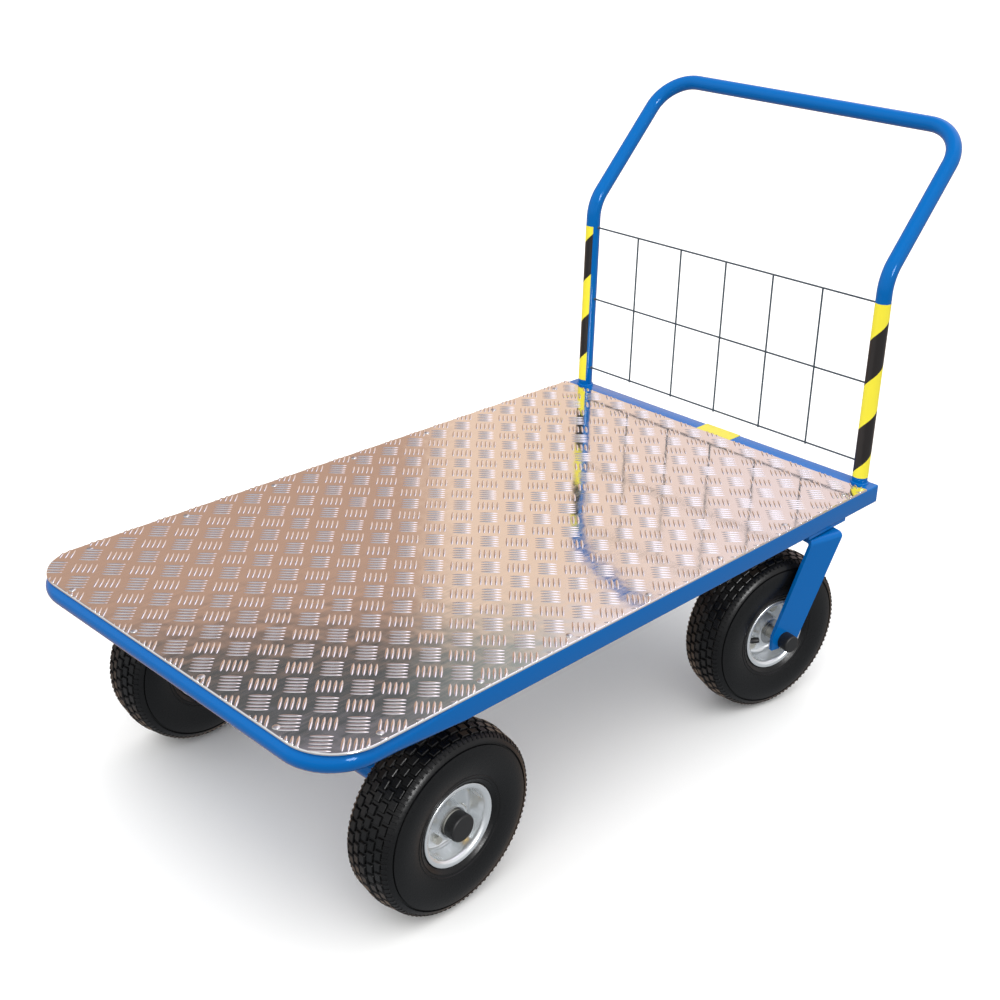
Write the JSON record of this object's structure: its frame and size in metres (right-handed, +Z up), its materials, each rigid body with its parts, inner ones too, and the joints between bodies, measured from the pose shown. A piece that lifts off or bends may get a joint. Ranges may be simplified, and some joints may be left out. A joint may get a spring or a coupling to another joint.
{
  "type": "platform cart",
  "caption": "Flat-deck platform cart with a fixed bent-tube push handle, wire mesh panel, fixed front pneumatic wheels and swivel casters under the handle end.",
  "frame": {"origin": "on the floor, under the middle of the cart's overall length and width", "axes": "+X forward, away from the handle; +Y to the left; +Z up"},
  "size_m": [1.3214, 0.6804, 0.8847],
  "materials": {
    "blue_paint": "gloss blue enamel on steel",
    "tread_plate": "bright rolled tread plate",
    "rivet": "plain",
    "wire": "dark painted wire",
    "hazard_tape": "printed film, black and yellow stripes",
    "label": "blank film",
    "zinc": "zinc plated",
    "bearing_steel": "ground steel",
    "black_plastic": "moulded",
    "tyre": "black rubber",
    "inner_tube": "butyl rubber",
    "rim": "bright zinc plated pressed steel"
  },
  "bodies": {
    "frame": {"front_tube": "blue_paint", "side_rail_left": "blue_paint", "side_rail_right": "blue_paint", "rear_bar": "blue_paint", "rear_cross_member": "blue_paint", "caster_cross_member": "blue_paint", "middle_cross_member": "blue_paint", "axle_cross_member_rear": "blue_paint", "axle_cross_member_front": "blue_paint", "deck_plate": "tread_plate", "deck_rivets": "rivet", "handle_tube": "blue_paint", "mesh_panel": "wire", "hazard_tapes": "hazard_tape", "blank_label": "label", "front_axle": "zinc", "axle_tube": "blue_paint", "axle_bracket_left": "blue_paint", "axle_bracket_right": "blue_paint", "axle_spacers": "zinc", "axle_fasteners": "zinc", "hub_caps": "black_plastic", "caster_plates": "blue_paint", "lower_races": "zinc", "kingpins": "zinc", "kingpin_nuts": "zinc"},
    "front_left_wheel": {"front_left_tyre": "tyre", "front_left_inner_tube": "inner_tube", "front_left_rim_outer": "rim", "front_left_rim_inner": "rim", "front_left_rim_fasteners": "zinc", "front_left_bearings": "bearing_steel"},
    "front_right_wheel": {"front_right_tyre": "tyre", "front_right_inner_tube": "inner_tube", "front_right_rim_outer": "rim", "front_right_rim_inner": "rim", "front_right_rim_fasteners": "zinc", "front_right_bearings": "bearing_steel"},
    "left_caster": {"left_fork": "blue_paint", "left_swivel_balls": "bearing_steel", "left_axle_sleeve": "zinc", "left_axle_fasteners": "zinc", "left_axle_caps": "black_plastic"},
    "rear_left_wheel": {"rear_left_tyre": "tyre", "rear_left_inner_tube": "inner_tube", "rear_left_rim_outer": "rim", "rear_left_rim_inner": "rim", "rear_left_rim_fasteners": "zinc", "rear_left_bearings": "bearing_steel"},
    "right_caster": {"right_fork": "blue_paint", "right_swivel_balls": "bearing_steel", "right_axle_sleeve": "zinc", "right_axle_fasteners": "zinc", "right_axle_caps": "black_plastic"},
    "rear_right_wheel": {"rear_right_tyre": "tyre", "rear_right_inner_tube": "inner_tube", "rear_right_rim_outer": "rim", "rear_right_rim_inner": "rim", "rear_right_rim_fasteners": "zinc", "rear_right_bearings": "bearing_steel"}
  },
  "joints": [
    {"name": "front_left_wheel_spin", "type": "hinge", "parent": "frame", "child": "front_left_wheel", "pos_m": [0.43374, 0.269, 0.13], "axis": [0, 1, 0], "continuous": true},
    {"name": "front_right_wheel_spin", "type": "hinge", "parent": "frame", "child": "front_right_wheel", "pos_m": [0.43374, -0.269, 0.13], "axis": [0, 1, 0], "continuous": true},
    {"name": "left_caster_swivel", "type": "hinge", "parent": "frame", "child": "left_caster", "pos_m": [-0.33226, 0.279, 0.282], "axis": [0, 0, 1], "continuous": true},
    {"name": "rear_left_wheel_spin", "type": "hinge", "parent": "left_caster", "child": "rear_left_wheel", "pos_m": [-0.26379, 0.26445, 0.13], "axis": [0.2079, 0.9781, 0], "continuous": true},
    {"name": "right_caster_swivel", "type": "hinge", "parent": "frame", "child": "right_caster", "pos_m": [-0.33226, -0.279, 0.282], "axis": [0, 0, 1], "continuous": true},
    {"name": "rear_right_wheel_spin", "type": "hinge", "parent": "right_caster", "child": "rear_right_wheel", "pos_m": [-0.26379, -0.26445, 0.13], "axis": [-0.2079, 0.9781, 0], "continuous": true}
  ]
}
